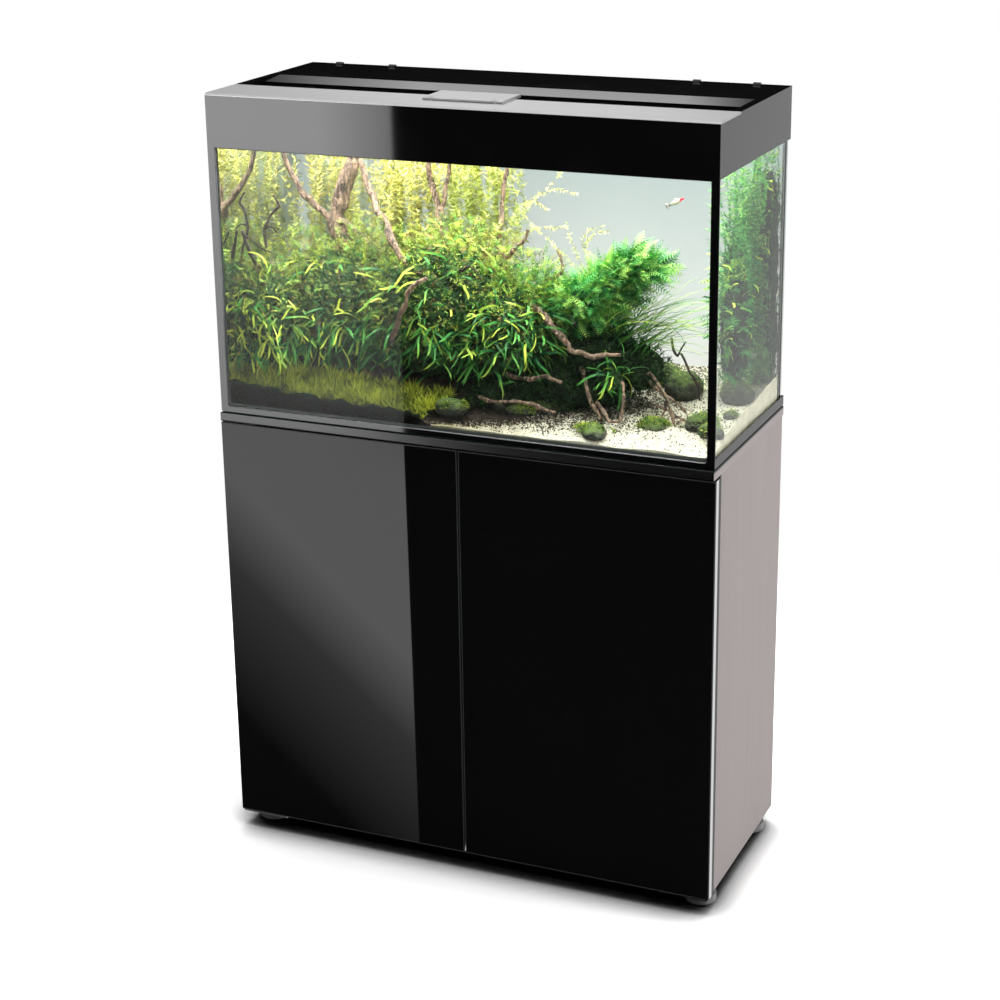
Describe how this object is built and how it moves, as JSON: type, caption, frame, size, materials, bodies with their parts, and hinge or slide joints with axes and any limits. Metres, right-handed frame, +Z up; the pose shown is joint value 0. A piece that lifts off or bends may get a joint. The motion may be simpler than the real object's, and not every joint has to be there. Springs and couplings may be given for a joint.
{
  "type": "aquarium on stand",
  "caption": "Planted glass aquarium with a lift-up lighting hood, standing on a cabinet with glass-fronted swing doors and round glide feet.",
  "frame": {"origin": "on the floor, under the middle of the object's box", "axes": "+X to the right of someone facing the doors, +Y to the back, +Z up"},
  "size_m": [0.804, 0.344, 1.2105],
  "materials": {
    "gloss_black": "gloss black moulded plastic",
    "black_plastic": "satin black plastic",
    "clear_glass": "clear float glass",
    "black_glass": "back-lacquered black glass",
    "taupe_laminate": "satin taupe melamine laminate",
    "black_laminate": "satin black melamine laminate",
    "polished_trim": "polished aluminium",
    "satin_metal": "satin anodised aluminium",
    "steel": "zinc-plated steel",
    "beech": "plain beech dowel",
    "foot_plastic": "grey translucent plastic",
    "foam": "closed-cell foam",
    "silicone": "clear silicone",
    "frosted_film": "pale blue-grey frosted film",
    "dark_soil": "granular dark soil",
    "cream_sand": "fine cream sand with dark specks",
    "mossy_stone": "dark rounded stone with moss",
    "root_wood": "waterlogged root wood",
    "leaf_green": "soft strap leaves",
    "moss_green": "soft moss and fern",
    "stem_green": "soft yellow-green stems",
    "carpet_green": "soft carpet moss",
    "lamp_white": "opal lamp tube"
  },
  "bodies": {
    "stand_and_tank": {"foot_front_left": "foot_plastic", "foot_front_right": "foot_plastic", "foot_back_left": "foot_plastic", "foot_back_right": "foot_plastic", "bottom_panel": "black_laminate", "back_panel": "black_laminate", "cable_grommets": "black_plastic", "center_partition": "black_laminate", "shelf": "black_laminate", "shelf_pins": "steel", "edge_strips": "black_plastic", "dowels": "beech", "top_board": "black_laminate", "foam_mat": "foam", "pivot_screws": "steel", "magnetic_catches": "black_plastic", "side_panel_left": "taupe_laminate", "side_panel_right": "taupe_laminate", "top_pivot_left": "steel", "top_pivot_right": "steel", "bottom_pivot_left": "steel", "bottom_pivot_right": "steel", "glass_left": "clear_glass", "glass_right": "clear_glass", "glass_bottom": "clear_glass", "glass_front": "clear_glass", "glass_back": "clear_glass", "silicone_seams": "silicone", "front_bezel": "gloss_black", "bottom_frame": "gloss_black", "background_film": "frosted_film", "soil": "dark_soil", "sand": "cream_sand", "stones": "mossy_stone", "driftwood": "root_wood", "filter_body": "black_plastic", "filter_head": "black_plastic", "heater": "black_plastic", "suction_cups": "silicone", "strap_plants": "leaf_green", "moss_mound": "moss_green", "stem_plants": "stem_green", "carpet_moss": "carpet_green", "hood_frame": "gloss_black", "top_strip": "satin_metal", "flap_hinge_pin": "steel", "lid_hinge_pins": "steel", "led_tube_front": "lamp_white", "led_tube_back": "lamp_white", "lamp_holders": "black_plastic"},
    "left_door": {"door_board_left": "black_laminate", "door_glass_left": "black_glass", "door_trim_left": "polished_trim", "strike_plate_left": "steel"},
    "right_door": {"door_board_right": "black_laminate", "door_glass_right": "black_glass", "door_trim_right": "polished_trim", "strike_plate_right": "steel"},
    "hood_lid": {"lid": "gloss_black"},
    "flap": {"feeding_flap": "satin_metal"}
  },
  "joints": [
    {"name": "left_door_hinge", "type": "hinge", "parent": "stand_and_tank", "child": "left_door", "pos_m": [-0.394, -0.158, 0.36], "axis": [0, 0, -1], "range_deg": [0, 110]},
    {"name": "right_door_hinge", "type": "hinge", "parent": "stand_and_tank", "child": "right_door", "pos_m": [0.394, -0.158, 0.36], "axis": [0, 0, 1], "range_deg": [0, 110]},
    {"name": "lid_hinge", "type": "hinge", "parent": "stand_and_tank", "child": "hood_lid", "pos_m": [0, 0.165, 1.204], "axis": [-1, 0, 0], "range_deg": [0, 100]},
    {"name": "feeding_flap_hinge", "type": "hinge", "parent": "stand_and_tank", "child": "flap", "pos_m": [0, -0.1259, 1.2084], "axis": [1, 0, 0], "range_deg": [0, 100]}
  ]
}
